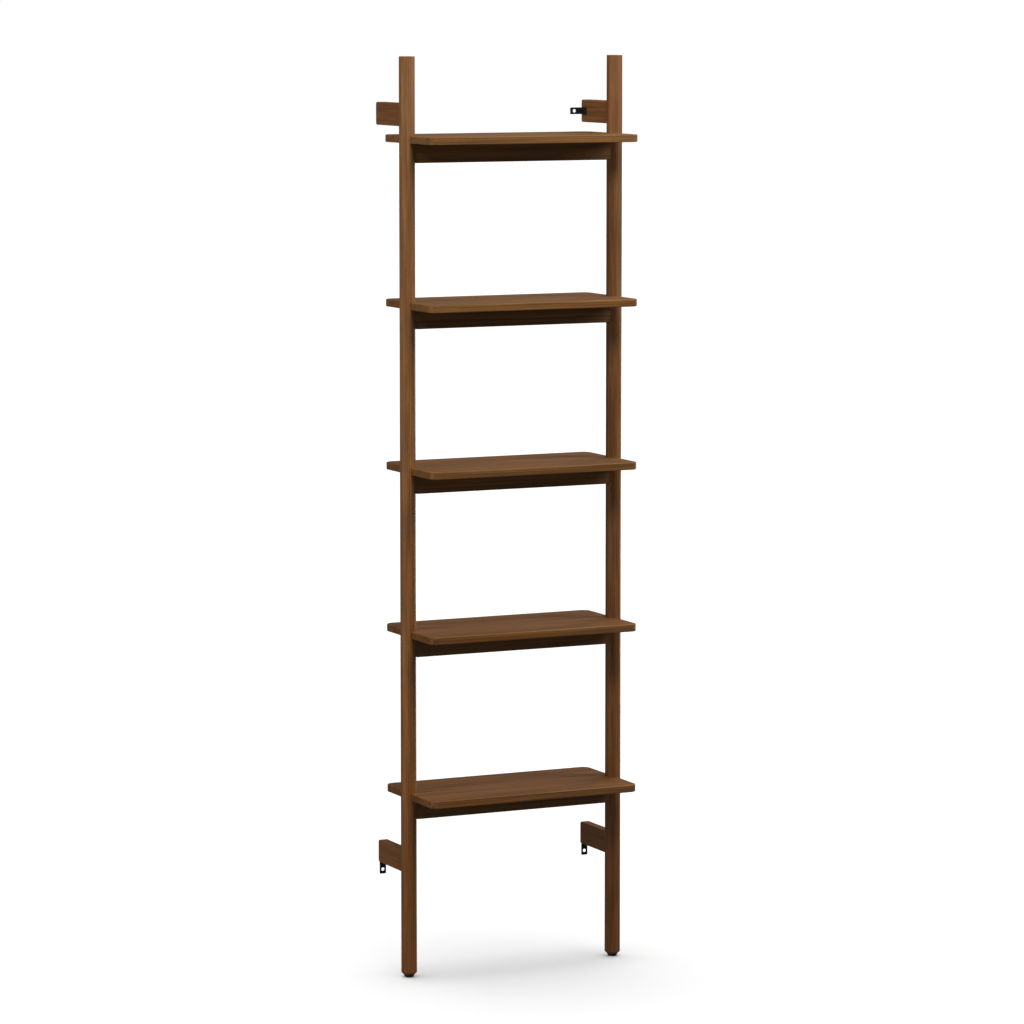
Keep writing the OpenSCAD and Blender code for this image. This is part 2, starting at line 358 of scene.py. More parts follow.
def wood(name, dark, mid, light, ring_gap, gloss, figure):
    """Oiled wood: growth rings, streaks, open pores, edges rubbed paler, and painted light
    from each piece's tint.

    A larger figure makes the streaks shorter.
    """
    s = Shader(name, IOR=1.45, Specular_IOR_Level=gloss)
    grain = s.add("Attribute", 1, {"attribute_name": "grain"})
    painted_light_tint = s.add("Attribute", 1, {"attribute_name": "painted_light_tint"})
    wear = s.add("Attribute", 2, {"attribute_name": "wear"})

    # Growth rings round the heart of the tree, which waver slowly along the grain
    slow = s.add("Mapping", Vector=grain, Scale=(0.06, 1, 1))
    rings = s.add(
        "TexWave",
        1,
        {"wave_type": "RINGS", "rings_direction": "X", "wave_profile": "SIN"},
        Vector=slow,
        Scale=WAVE_PERIOD / ring_gap,
        Distortion=9.0,
        Detail=2.0,
        Detail_Scale=0.16,
        Detail_Roughness=0.5,
    )
    late_wood = s.math("POWER", rings, 2.2)

    broad = s.noise(grain, (0.9 * figure, 30, 30), 2, 0.5, 0.4)
    streak = s.noise(grain, (2.8 * figure, 110, 110), 3, 0.6)
    fine = s.noise(grain, (9, 520, 520), 3, 0.6)
    flecks = s.noise(grain, (42, 1300, 1300), 2, 0.5)
    cloud = s.noise(grain, (4.5 * figure, 50, 50), 2, 0.55)

    mixed = s.math("MULTIPLY", broad, BROAD)
    for part, weight in ((streak, STREAK), (fine, FINE), (late_wood, LATE_WOOD)):
        mixed = s.math("ADD", mixed, s.math("MULTIPLY", part, weight))
    colours = [(*rgb, 1) for rgb in (dark, mid, light)]
    colour = s.ramp(mixed, *zip(FIGURE_STOPS, colours))

    # Some stretches are greyer and others more golden
    warmth = s.remap(cloud, 0.35, 0.65, 0.0, 1.0)
    colour = s.mix(
        warmth,
        s.mix(1.0, colour, GREYER, "MULTIPLY"),
        s.mix(1.0, colour, GOLDEN, "MULTIPLY"),
    )
    # Painted light: each piece's tint scales its colour for how strongly the light falls on
    # it there
    colour = s.mix(1.0, colour, painted_light_tint, "MULTIPLY")
    pores = s.remap(flecks, 0.60, 0.70, 0.0, 1.0)
    in_pore = (*[part * PORE_DARKNESS for part in dark], 1)
    colour = s.mix(s.math("MULTIPLY", pores, PORE_SHARE), colour, in_pore)
    rubbed = (*[part * paler for part, paler in zip(light, RUBBED_PALER)], 1)
    colour = s.mix(s.math("MULTIPLY", wear, RUBBED_SHARE), colour, rubbed)

    rough = s.remap(streak, 0.3, 0.7, 0.42, 0.50)
    rough = s.math("ADD", rough, s.math("MULTIPLY", pores, 0.12))
    rough = s.math("SUBTRACT", rough, s.math("MULTIPLY", wear, 0.05))
    height = s.math("SUBTRACT", s.math("MULTIPLY", fine, 0.5), pores)
    bump = s.add("Bump", Strength=0.25, Distance=0.15 * MM, Height=height)
    s.drive(Base_Color=colour, Roughness=rough, Normal=bump)
    return s.material


def painted_steel():
    """Black powder coat: a fine orange-peel surface, thinner and shinier on the edges."""
    s = Shader("black_powder_coat", IOR=1.5, Specular_IOR_Level=0.3)
    place = s.add("TexCoord", 3)
    wear = s.add("Attribute", 2, {"attribute_name": "wear"})
    peel = s.noise(place, (1500, 1500, 1500), 3, 0.55)
    cloud = s.noise(place, (60, 60, 60), 3, 0.5)
    colour = s.mix(cloud, (0.0030, 0.0032, 0.0035, 1), (0.0075, 0.0080, 0.0085, 1))
    colour = s.mix(s.math("MULTIPLY", wear, 0.35), colour, grey(0.03))
    rough = s.remap(peel, 0.3, 0.7, 0.40, 0.56)
    rough = s.math("SUBTRACT", rough, s.math("MULTIPLY", wear, 0.08))
    bump = s.add("Bump", Strength=0.35, Distance=0.05 * MM, Height=peel)
    s.drive(Base_Color=colour, Roughness=rough, Normal=bump)
    return s.material


def zinc_steel():
    """Bright zinc plating with a faint spangle and fine turning marks."""
    s = Shader("zinc_plate", Metallic=1.0)
    place = s.add("TexCoord", 3)
    spangle = s.noise(place, (400, 400, 400), 2, 0.6, 0.8)
    marks = s.noise(place, (300, 300, 6000), 2, 0.5)
    colour = s.mix(spangle, (0.42, 0.43, 0.45, 1), (0.66, 0.66, 0.65, 1))
    rough = s.remap(marks, 0.3, 0.7, 0.22, 0.42)
    bump = s.add("Bump", Strength=0.2, Distance=0.02 * MM, Height=marks)
    s.drive(Base_Color=colour, Roughness=rough, Normal=bump)
    return s.material


def black_plastic():
    """Moulded black plastic with a fine spark-eroded texture, scuffed on its edges."""
    s = Shader("moulded_plastic", IOR=1.47)
    place = s.add("TexCoord", 3)
    wear = s.add("Attribute", 2, {"attribute_name": "wear"})
    spark = s.noise(place, (2600, 2600, 2600), 3, 0.6)
    scuff = s.noise(place, (220, 220, 500), 3, 0.6)
    colour = s.mix(spark, (0.010, 0.010, 0.010, 1), (0.020, 0.020, 0.021, 1))
    worn = s.math("MULTIPLY", wear, s.remap(scuff, 0.4, 0.7, 0.1, 0.5))
    colour = s.mix(worn, colour, grey(0.07))
    rough = s.remap(spark, 0.3, 0.7, 0.42, 0.6)
    bump = s.add("Bump", Strength=0.4, Distance=0.04 * MM, Height=spark)
    s.drive(Base_Color=colour, Roughness=rough, Normal=bump)
    return s.material


def beech():
    """Pale compressed dowel wood with short fibres."""
    s = Shader("beech_dowel", IOR=1.45)
    place = s.add("TexCoord", 3)
    fibre = s.noise(place, (300, 300, 300), 4, 0.6)
    colour = s.mix(fibre, (0.50, 0.33, 0.17, 1), (0.72, 0.52, 0.30, 1))
    rough = s.remap(fibre, 0.3, 0.7, 0.6, 0.75)
    bump = s.add("Bump", Strength=0.3, Distance=0.1 * MM, Height=fibre)
    s.drive(Base_Color=colour, Roughness=rough, Normal=bump)
    return s.material


WALNUT = {
    "walnut_posts": wood(
        "walnut_posts",
        dark=(0.140, 0.0530, 0.0130),
        mid=(0.210, 0.0810, 0.0205),
        light=(0.290, 0.1230, 0.0345),
        ring_gap=4.5 * MM,
        gloss=0.5,
        figure=2.2,
    ),
    "walnut_boards": wood(
        "walnut_boards",
        dark=(0.112, 0.0435, 0.0108),
        mid=(0.183, 0.0748, 0.0205),
        light=(0.255, 0.1120, 0.0335),
        ring_gap=3.5 * MM,
        gloss=0.3,
        figure=1.0,
    ),
    "walnut_rails": wood(
        "walnut_rails",
        dark=(0.115, 0.0508, 0.0141),
        mid=(0.173, 0.0781, 0.0223),
        light=(0.225, 0.1090, 0.0328),
        ring_gap=4 * MM,
        gloss=0.3,
        figure=1.0,
    ),
    "walnut_arms": wood(
        "walnut_arms",
        dark=(0.145, 0.0530, 0.0129),
        mid=(0.215, 0.0815, 0.0199),
        light=(0.283, 0.1150, 0.0305),
        ring_gap=4 * MM,
        gloss=0.4,
        figure=1.6,
    ),
}
STEEL = painted_steel()
ZINC = zinc_steel()
PLASTIC = black_plastic()
BEECH = beech()


def stand_in(piece, material, slot, body, *nodes):
    """Makes a finished piece stand for its CAD nodes."""
    piece.data.materials.clear()
    piece.data.materials.append(material)
    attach(piece, body)
    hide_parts(*nodes)


# ---- Posts ----

POST_CHAMFER = 5 * MM
POST_CHAMFER_EASE = 0.5 * MM
POST_TOP_EASE = 0.9 * MM
POST_SEGMENTS = 128
# Half width of the small flat in the middle of a post's top
POST_TOP_FLAT = 0.1 * MM
# Bores for the threaded insert and the foot's stem, as (radius, depth from the bottom)
INSERT_FLANGE = (8.55 * MM, 1.5 * MM)
INSERT_BODY = (6.05 * MM, 16.5 * MM)
STEM_ROOM = (4.5 * MM, 26 * MM)
# Where each post's foot was in its tree, and its tints at the foot and at the top.
# The tints are painted light: the posts grow paler towards the top, and the left post is
# paler than the right, for light that falls stronger there; the left post's top is also
# greyer, a painted sheen.
POST_TREES_AND_PAINTED_LIGHT = {
    "left": ((1.3, 0.052, -0.031), (1.05, 0.98, 0.80), (1.16, 1.33, 1.60)),
    "right": ((7.9, -0.043, 0.046), (0.93, 0.85, 0.72), (0.96, 0.98, 1.00)),
}


def build_post(side):
    node = side + "_post"
    low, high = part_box(node)
    radius = (high.x - low.x) / 2
    flange_r, flange_z = INSERT_FLANGE
    insert_r, insert_z = INSERT_BODY
    stem_r, stem_z = STEM_ROOM
    tall = high.z - low.z
    bore = [
        (stem_r, stem_z, 0),
        (stem_r, insert_z, 0),
        (insert_r, insert_z, 0),
        (insert_r, flange_z, 0),
        (flange_r, flange_z, 0),
        (flange_r, 0, 0),
    ]
    outside = eased(
        [
            (flange_r, 0, 0),
            (radius - POST_CHAMFER, 0, POST_CHAMFER_EASE),
            (radius, POST_CHAMFER, POST_CHAMFER_EASE),
            (radius, tall, POST_TOP_EASE),
            (POST_TOP_FLAT, tall, 0),
        ]
    )
    bm = bmesh.new()
    lathe(bm, bore + outside[1:], POST_SEGMENTS)
    bm.transform(Matrix.Translation(foot_centre(low, high)))
    piece = to_piece(bm, node + "_wood")
    set_grain_and_painted_light(piece, "Z", foot_centre(low, high), *POST_TREES_AND_PAINTED_LIGHT[side])
    stand_in(piece, WALNUT["walnut_posts"], "walnut_posts", "frame", node)


# ---- Boards ----

BOARD_CORNER = 21 * MM
NOTCH_GAP = 0.25 * MM
NOTCH_LIP = 1.5 * MM
BOARD_EASE = 2.1 * MM
NOTCH_EASE = 0.3 * MM
# How far from a notch its board's edges reach their full rounding
NOTCH_FADE = 7 * MM
# Extra points on a board's ends, by their distance from the notch's lip
BESIDE_NOTCH = (1 * MM, 2.5 * MM, 4 * MM, 6 * MM, 9 * MM)
CORNER_STEPS = 14
NOTCH_STEPS = 20
LIP_STEPS = 5
# How far apart along the grain the boards were in their trees
BOARD_SPACING = 3.1
# Where each board was in its tree, across and above the heart, and its tint. The tint is
# painted light: higher boards are paler and greyer, for light that falls stronger on them.
BOARD_TREES_AND_PAINTED_LIGHT = {
    1: (0.020, 0.085, (0.96, 0.94, 0.90)),
    2: (-0.050, 0.110, (0.97, 0.95, 0.90)),
    3: (0.060, 0.075, (1.00, 1.02, 0.97)),
    4: (-0.024, 0.130, (1.03, 1.10, 1.10)),
    5: (0.035, 0.095, (1.07, 1.17, 1.22)),
}


def board_outline(half_w, front, back, post_y, notch):
    """Rounded rectangle with a notch in each end, from its front right corner round."""
    lip_y = math.sqrt((notch + NOTCH_LIP) ** 2 - NOTCH_LIP**2)
    lip_angle = math.degrees(math.atan2(lip_y, -NOTCH_LIP))
    near = [lip_y + past for past in BESIDE_NOTCH]
    lip_x = half_w - NOTCH_LIP
    r = BOARD_CORNER
    front_half = [
        *arc(half_w - r, front + r, r, -90, 0, CORNER_STEPS),
        *[(half_w, post_y - y) for y in reversed(near)],
        *arc(lip_x, post_y - lip_y, NOTCH_LIP, 0, 180 - lip_angle, LIP_STEPS),
        *arc(half_w, post_y, notch, -lip_angle, -180, NOTCH_STEPS)[1:-1],
    ]
    back_half = [
        *arc(half_w, post_y, notch, lip_angle, 180, NOTCH_STEPS)[::-1],
        *arc(lip_x, post_y + lip_y, NOTCH_LIP, lip_angle - 180, 0, LIP_STEPS)[1:],
        *[(half_w, post_y + y) for y in near],
        *arc(half_w - r, back - r, r, 0, 90, CORNER_STEPS),
    ]
    right = front_half + back_half
    left = [(-u, v) for u, v in reversed(right)]
    return right + left


def build_board(number):
    node = f"shelf_{number}"
    low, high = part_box(node)
    post_low, post_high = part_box("right_post")
    post_y = (post_low.y + post_high.y) / 2
    post_r = (post_high.x - post_low.x) / 2
    notch = post_r + NOTCH_GAP
    outline = board_outline(high.x, low.y, high.y, post_y, notch)

    def ease(u, v):
        past = math.hypot(abs(u) - high.x, v - post_y) - notch
        share = min(1, max(0, past / NOTCH_FADE))
        return NOTCH_EASE + (BOARD_EASE - NOTCH_EASE) * share

    piece = slab(
        node + "_wood",
        outline,
        ease,
        high.z - low.z,
        lambda u, v, w: (u, v, low.z + w),
    )
    across, above, painted_light_tint = BOARD_TREES_AND_PAINTED_LIGHT[number]
    shift = (BOARD_SPACING * number, across, above)
    # The board's tint is painted light, the same all over the board
    set_grain_and_painted_light(piece, "X", (0, post_y, low.z), shift, painted_light_tint, painted_light_tint)
    stand_in(piece, WALNUT["walnut_boards"], "walnut_boards", "frame", node)


# ---- Rails ----

RAIL_CORNER = 6 * MM
# The rounding of a rail's edges, and of those against its board, and how far below the
# board the one starts to turn into the other
RAIL_EASE = 1.4 * MM
RAIL_TOP_EASE = 0.3 * MM
RAIL_TOP_FADE = 3 * MM
RAIL_CORNER_STEPS = 10
CAM_INSET = 24 * MM
CAM_HEIGHT = 32 * MM
CAM_R = 7.55 * MM
CAM_DEPTH = 13 * MM
SHELF_SCREW_X = 150 * MM
COUNTERBORE_R = 5 * MM
COUNTERBORE_DEPTH = 20 * MM
# Where the rails' row along the grain starts, and how far apart they were in it
RAIL_START = 20
RAIL_SPACING = 2.7
# Where each rail was in its tree, across and above the heart
RAIL_HEARTS = {
    1: (0.05, 0.03),
    2: (-0.04, 0.05),
    3: (0.06, -0.035),
    4: (-0.05, -0.04),
    5: (0.045, 0.055),
}


def build_rail(number):
    node = f"rail_{number}"
    low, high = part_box(node)
    half_l, tall = high.x, high.z - low.z
    r = RAIL_CORNER
    right = [
        *arc(half_l - r, r, r, -90, 0, RAIL_CORNER_STEPS),
        (half_l, tall - RAIL_TOP_FADE),
        (half_l, tall),
    ]
    outline = right + [(-u, v) for u, v in reversed(right)]

    def ease(u, v):
        return RAIL_EASE if v < tall - RAIL_TOP_FADE / 2 else RAIL_TOP_EASE

    piece = slab(
        node + "_wood",
        outline,
        ease,
        high.y - low.y,
        lambda u, v, w: (u, low.y + w, low.z + v),
    )
    mid_y = (low.y + high.y) / 2
    cutters = []
    for side in SIDES.values():
        x, z = side * (half_l - CAM_INSET), low.z + CAM_HEIGHT
        cutters.append(
            rod("cam_bore", (x, high.y - CAM_DEPTH, z), (x, high.y + MM, z), CAM_R)
        )
        x = side * SHELF_SCREW_X
        top = low.z + COUNTERBORE_DEPTH
        cutters.append(
            rod("counterbore", (x, mid_y, low.z - MM), (x, mid_y, top), COUNTERBORE_R)
        )
    cut(piece, *cutters)
    shift = (RAIL_SPACING * number + RAIL_START, *RAIL_HEARTS[number])
    set_grain_and_painted_light(piece, "X", (0, mid_y, low.z), shift)
    stand_in(piece, WALNUT["walnut_rails"], "walnut_rails", "frame", node)


# ---- Wall arms ----

ARM_CORNER = 5 * MM
ARM_EASE = 2.4 * MM
ARM_CORNER_STEPS = 8
# How much further into its post an arm reaches than its CAD node
SINK = 1.5 * MM
# Where each arm was in its tree, along it and then across
ARM_TREES = {
    "upper_left": (30, 0.05, 0.03),
    "upper_right": (33, -0.035, 0.06),
    "lower_left": (36, 0.04, -0.05),
    "lower_right": (39, -0.055, -0.03),
}


def build_arm(level, side):
    node = f"{level}_{side}_arm"
    low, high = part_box(node)
    r = ARM_CORNER
    outline = [
        (low.y - SINK, low.z),
        *arc(high.y - r, low.z + r, r, -90, 0, ARM_CORNER_STEPS),
        *arc(high.y - r, high.z - r, r, 0, 90, ARM_CORNER_STEPS),
        (low.y - SINK, high.z),
    ]
    piece = slab(
        node + "_wood",
        outline,
        lambda u, v: ARM_EASE,
        high.x - low.x,
        lambda u, v, w: (low.x + w, u, v),
    )
    set_grain_and_painted_light(piece, "Y", (low + high) / 2, ARM_TREES[f"{level}_{side}"])
    stand_in(piece, WALNUT["walnut_arms"], "walnut_arms", "frame", node)


# ---- Brackets and their screws ----

LEG = 30.5 * MM
WIDTH = 16.5 * MM
STEEL_T = 2 * MM
BEND = 3 * MM
LEG_CORNER = 2 * MM
WALL_HOLE_R = 4.25 * MM
ARM_HOLE_R = 2.25 * MM
HOLE_INSET = 11 * MM
RIM_BEVEL = 0.25 * MM
RIM_ANGLE = math.radians(60)
BEND_STEPS = 8
MERGE_WITHIN = 0.001 * MM
# Facets across a leg's width, along its straight sides and round its corners
LEG_ACROSS = 18
LEG_ALONG = 26
LEG_CORNER_STEPS = 5
# Faces whose normal is this near to an axis are flat, and are shaded flat
FLAT_ENOUGH = 0.9999


def bracket_frame(level, side):
    """Where a bracket's corner is: x leaves the arm, y points at the wall."""
    low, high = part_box(f"{level}_{side}_arm")
    if level == "upper":
        inner = high.x if side == "left" else low.x
        turn = Matrix.Identity(4) if side == "left" else Matrix.Scale(-1, 4, (1, 0, 0))
        return Matrix.Translation((inner, high.y, (low.z + high.z) / 2)) @ turn
    turn = Matrix.Rotation(math.pi / 2, 4, "Y")
    return Matrix.Translation(((low.x + high.x) / 2, high.y, low.z)) @ turn


def leg_outline():
    """The edge at the bend, and a leg's whole outline from there round.

    The points are (distance from the bend, place across the leg).
    """
    long, half, r = LEG - BEND, WIDTH / 2, LEG_CORNER
    edge = [(0, half * (2 * k / LEG_ACROSS - 1)) for k in range(LEG_ACROSS + 1)]
    side = [((long - r) * k / LEG_ALONG, half) for k in range(1, LEG_ALONG)]
    end = [
        *arc(long - r, half - r, r, 90, 0, LEG_CORNER_STEPS),
        *[(long, (half - r) * (1 - 2 * k / LEG_ACROSS)) for k in range(1, LEG_ACROSS)],
        *arc(long - r, r - half, r, 0, -90, LEG_CORNER_STEPS),
    ]
    back = [(u, -v) for u, v in reversed(side)]
    return edge, edge + side + end + back


def build_bracket(level, side):
    node = f"{level}_{side}_bracket"
    edge, outline = leg_outline()
    bm = bmesh.new()
    wear = bm.verts.layers.float.new("wear")

    def face(*points):
        bm.faces.new([bm.verts.new(p) for p in points])

    def on_arm(along, across, depth):
        return Vector((depth, -BEND - along, across))

    def on_wall(along, across, depth):
        return Vector((BEND + along, -depth, across))

    centre = (LEG - BEND - HOLE_INSET, 0)
    for place, radius in ((on_arm, ARM_HOLE_R), (on_wall, WALL_HOLE_R)):
        hole = []
        for u, v in outline:
            away = Vector((u - centre[0], v - centre[1])).normalized() * radius
            hole.append((centre[0] + away.x, centre[1] + away.y))
        for k in range(len(outline)):
            j = (k + 1) % len(outline)
            for depth in (0, STEEL_T):
                face(
                    place(*outline[k], depth),
                    place(*outline[j], depth),
                    place(*hole[j], depth),
                    place(*hole[k], depth),
                )
            face(
                place(*hole[k], 0),
                place(*hole[j], 0),
                place(*hole[j], STEEL_T),
                place(*hole[k], STEEL_T),
            )
            # The outline starts along the bend, where the leg has no side
            if k >= len(edge) - 1:
                face(
                    place(*outline[k], 0),
                    place(*outline[j], 0),
                    place(*outline[j], STEEL_T),
                    place(*outline[k], STEEL_T),
                )

    def on_bend(turned, across, depth):
        reach = BEND - depth
        return Vector(
            (BEND - reach * math.cos(turned), -BEND + reach * math.sin(turned), across)
        )

    for k in range(BEND_STEPS):
        a, b = (math.pi / 2 * n / BEND_STEPS for n in (k, k + 1))
        for (_, v), (_, w) in zip(edge, edge[1:]):
            for depth in (0, STEEL_T):
                face(*(on_bend(*q, depth) for q in ((a, v), (b, v), (b, w), (a, w))))
        for v in (edge[0][1], edge[-1][1]):
            face(
                on_bend(a, v, 0),
                on_bend(b, v, 0),
                on_bend(b, v, STEEL_T),
                on_bend(a, v, STEEL_T),
            )
    bmesh.ops.remove_doubles(bm, verts=bm.verts, dist=MERGE_WITHIN)
    bmesh.ops.recalc_face_normals(bm, faces=bm.faces)
    rims = [e for e in bm.edges if e.calc_face_angle(0) > RIM_ANGLE]
    bevel = bmesh.ops.bevel(
        bm, geom=rims, offset=RIM_BEVEL, segments=2, profile=0.5, affect="EDGES"
    )
    for vert in bevel["verts"]:
        vert[wear] = 1
    bm.transform(bracket_frame(level, side))
    piece = to_piece(bm, node + "_steel")
    polygons = piece.data.polygons
    curved = [max(abs(part) for part in p.normal) < FLAT_ENOUGH for p in polygons]
    polygons.foreach_set("use_smooth", curved)
    stand_in(piece, STEEL, "black_steel", "frame", node)


SCREW_HEAD_R = 4 * MM
SCREW_HEAD_H = 2.5 * MM
SCREW_SHANK_R = 2 * MM
SCREW_LENGTH = 18 * MM
SCREW_TIP = 3 * MM
SCREW_SEGMENTS = 48
# Half length and half width of a bar of the cross recess, its depth, and how much
# smaller it is at the bottom and larger above the head
RECESS_LONG = 2.2 * MM
RECESS_SLIM = 0.45 * MM
RECESS_DEPTH = 1.6 * MM
RECESS_TAPER = (0.55, 1.3)


def cross_bar(turn):
    """One bar of the cross recess in a screw's head, which tapers inwards."""
    rings = []
    levels = (SCREW_HEAD_H - RECESS_DEPTH, SCREW_HEAD_H + MM)
    for z, grow in zip(levels, RECESS_TAPER):
        rings.append(
            [
                (Vector((x * RECESS_LONG * grow, y * RECESS_SLIM * grow, z)), 0)
                for x, y in ((-1, -1), (1, -1), (1, 1), (-1, 1))
            ]
        )
    bm = bmesh.new()
    skin(bm, rings)
    bm.transform(Matrix.Rotation(turn, 4, "Z"))
    return to_piece(bm, "recess")


def build_bracket_screws():
    """Pan-head screws with a cross recess, one through each bracket into its arm."""
    # Half of the screw's outline from its tip to its top, as (radius, height, wear)
    outline = [
        (0.1 * MM, -SCREW_LENGTH, 0),
        (0.8 * MM, -SCREW_LENGTH + 0.4 * MM, 0),
        (SCREW_SHANK_R, -SCREW_LENGTH + SCREW_TIP, 0),
        (SCREW_SHANK_R, 0, 0),
        (SCREW_HEAD_R - 0.2 * MM, 0, 0),
        (SCREW_HEAD_R, 0.2 * MM, 1),
        (SCREW_HEAD_R, 0.7 * MM, 0.6),
        (3.86 * MM, 1.25 * MM, 0.4),
        (3.5 * MM, 1.75 * MM, 0.3),
        (2.9 * MM, 2.15 * MM, 0.2),
        (2.1 * MM, 2.4 * MM, 0.1),
        (1.1 * MM, SCREW_HEAD_H, 0),
        (0.2 * MM, SCREW_HEAD_H, 0),
    ]
    place = Matrix.Translation((STEEL_T, -LEG + HOLE_INSET, 0))
    onto_leg = place @ Matrix.Rotation(math.pi / 2, 4, "Y")
    screws = bmesh.new()
    for level in ("upper", "lower"):
        for side in SIDES:
            bm = bmesh.new()
            lathe(bm, outline, SCREW_SEGMENTS)
            screw = to_piece(bm, "screw")
            cut(screw, *(cross_bar(turn) for turn in (0, math.pi / 2)))
            screw.data.transform(bracket_frame(level, side) @ onto_leg)
            screws.from_mesh(screw.data)
            bpy.data.objects.remove(screw)
    piece = to_piece(screws, "bracket_screws_steel")
    stand_in(piece, STEEL, "black_screws", "frame", "bracket_screws")


# ---- Levelling feet ----

PAD_FACE_R = 9.5 * MM
PAD_RIM = 2 * MM
# The key hole in the pad's face, the socket for the stem's disc, and the hole above it
PAD_KEY_R = 3 * MM
PAD_SOCKET_R = 7.05 * MM
PAD_SOCKET_FLOOR = 2 * MM
PAD_SOCKET_ROOF = 5 * MM
PAD_NECK_R = 4.05 * MM
# The rounding of the pad's edges: at its key hole, round its face and at its rim
PAD_KEY_EASE = 0.3 * MM
PAD_FACE_EASE = 0.5 * MM
PAD_RIM_EASE = 0.4 * MM
PAD_SEGMENTS = 80
# How far past each rounding of a pad's or a stem's edges the wear has faded out
FOOT_GUARD = 0.2 * MM
STEM_DISC_H = 2.9 * MM
STEM_DISC_EASE = 0.3 * MM
STEM_SEGMENTS = 48
# Half of the hexagon socket's width across its flats
HEX_R = 2 * MM
THREAD_R = 4 * MM
THREAD_ROOT_R = 3.4 * MM
THREAD_PITCH = 1.25 * MM
# Rings of points to each turn of the thread
THREAD_RINGS = 10
# The shares of half a turn in which the thread is flat at its root, and then rises
THREAD_FLAT = 0.14
THREAD_FLANK = 0.72


def build_pad(side):
    node = side + "_foot_pad"
    low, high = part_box(node)
    top_r, tall = (high.x - low.x) / 2, high.z - low.z
    path = eased(
        [
            (PAD_KEY_R, 0, PAD_KEY_EASE),
            (PAD_FACE_R, 0, PAD_FACE_EASE),
            (top_r, tall - PAD_RIM, PAD_RIM_EASE),
            (top_r, tall, PAD_RIM_EASE),
            (PAD_NECK_R, tall, 0),
            (PAD_NECK_R, PAD_SOCKET_ROOF, 0),
            (PAD_SOCKET_R, PAD_SOCKET_ROOF, 0),
            (PAD_SOCKET_R, PAD_SOCKET_FLOOR, 0),
            (PAD_KEY_R, PAD_SOCKET_FLOOR, 0),
        ],
        guard=FOOT_GUARD,
    )
    bm = bmesh.new()
    lathe(bm, path, PAD_SEGMENTS, looped=True)
    bm.transform(Matrix.Translation(foot_centre(low, high)))
    piece = to_piece(bm, node + "_plastic")
    stand_in(piece, PLASTIC, "black_plastic", side + "_pad", node)


def build_stem(side):
    """Disc with a hexagon socket, and a threaded rod that rises from it."""
    node = side + "_foot_stem"
    low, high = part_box(node)
    disc_r, tall = (high.x - low.x) / 2, high.z - low.z
    step = math.tau / STEM_SEGMENTS

    def hexagon(height):
        ring = []
        for k in range(STEM_SEGMENTS):
            a = k * step
            r = HEX_R / math.cos((a % (math.pi / 3)) - math.pi / 6)
            ring.append((Vector((r * math.cos(a), r * math.sin(a), height)), 0))
        return ring

    rings = [hexagon(STEM_DISC_H), hexagon(0)]
    disc = [
        (HEX_R, 0, 0),
        (disc_r, 0, STEM_DISC_EASE),
        (disc_r, STEM_DISC_H, STEM_DISC_EASE),
        (THREAD_ROOT_R, STEM_DISC_H, 0),
    ]
    rings += [round_ring(*row, STEM_SEGMENTS) for row in eased(disc, guard=FOOT_GUARD)[1:]]
    rod_l = tall - STEM_DISC_H
    levels = int(rod_l / (THREAD_PITCH / THREAD_RINGS))
    for n in range(1, levels + 1):
        z = STEM_DISC_H + rod_l * n / levels
        fade = min(1, (z - STEM_DISC_H) / MM, (tall - z) / MM)
        ring = []
        for k in range(STEM_SEGMENTS):
            turn = (z / THREAD_PITCH - k / STEM_SEGMENTS) % 1
            flank = 1 - abs(2 * turn - 1)
            rise = min(1, max(0, (flank - THREAD_FLAT) / THREAD_FLANK)) * fade
            r = THREAD_ROOT_R + (THREAD_R - THREAD_ROOT_R) * rise
            ring.append(
                (Vector((r * math.cos(k * step), r * math.sin(k * step), z)), rise)
            )
        rings.append(ring)
    bm = bmesh.new()
    skin(bm, rings)
    bm.transform(Matrix.Translation(foot_centre(low, high)))
    piece = to_piece(bm, node + "_steel")
    stand_in(piece, ZINC, "zinc_steel", side + "_stem", node)


# ---- The whole shelf ----

for side in SIDES:
    build_post(side)
    build_pad(side)
    build_stem(side)
    for level in ("upper", "lower"):
        build_arm(level, side)
        build_bracket(level, side)
for number in BOARDS:
    build_board(number)
    build_rail(number)
build_bracket_screws()

CARRIED_OVER = {
    "shelf_screws": (ZINC, "zinc_steel"),
    "cam_studs": (ZINC, "zinc_steel"),
    "cam_discs": (ZINC, "zinc_steel"),
    "foot_inserts": (ZINC, "zinc_steel"),
    "rail_dowels": (BEECH, "beech"),
    "arm_dowels": (BEECH, "beech"),
}
for node, (material, slot) in CARRIED_OVER.items():
    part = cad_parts[node]
    part.data.materials.clear()
    part.data.materials.append(material)


# ---- Floor, light and camera ----

FLOOR_RADIUS = 60
FLOOR_SEGMENTS = 64
# The floor paper's brightness, how much it varies, and its cells to the metre
FLOOR_ALBEDO = 0.92
FLOOR_MOTTLE = 0.004
FLOOR_FIBRE = 30
# Suns over the floor, as (width in degrees, strength): a narrow one and a very wide one
SUNS = {"overhead": (40, 0.75), "dome": (150, 2.79)}
SUN_TILT = 5
SKY_POWER = 0.13
SOFTBOX_SIZE = 1.1
SOFTBOX_REACH = 3.0
AIM_HEIGHT = 1.3
# Bearing in degrees from straight in front to the right, height, watts and colour
SOFTBOXES = {
    "front": (-10, 4.2, 77, (1, 1, 1)),
    "left": (-76, 4.2, 53, (1, 1, 1)),
    "right": (65, 4.2, 48, (1, 1, 1)),
    "right_low": (65, 3.0, 29, (1, 1, 1)),
    "back_right": (120, 4.2, 30, (1, 1, 1)),
    "floor_left": (-85, 0.7, 12, (1, 0.88, 0.74)),
    "floor_right": (120, 0.7, 21, (1, 0.88, 0.74)),
}

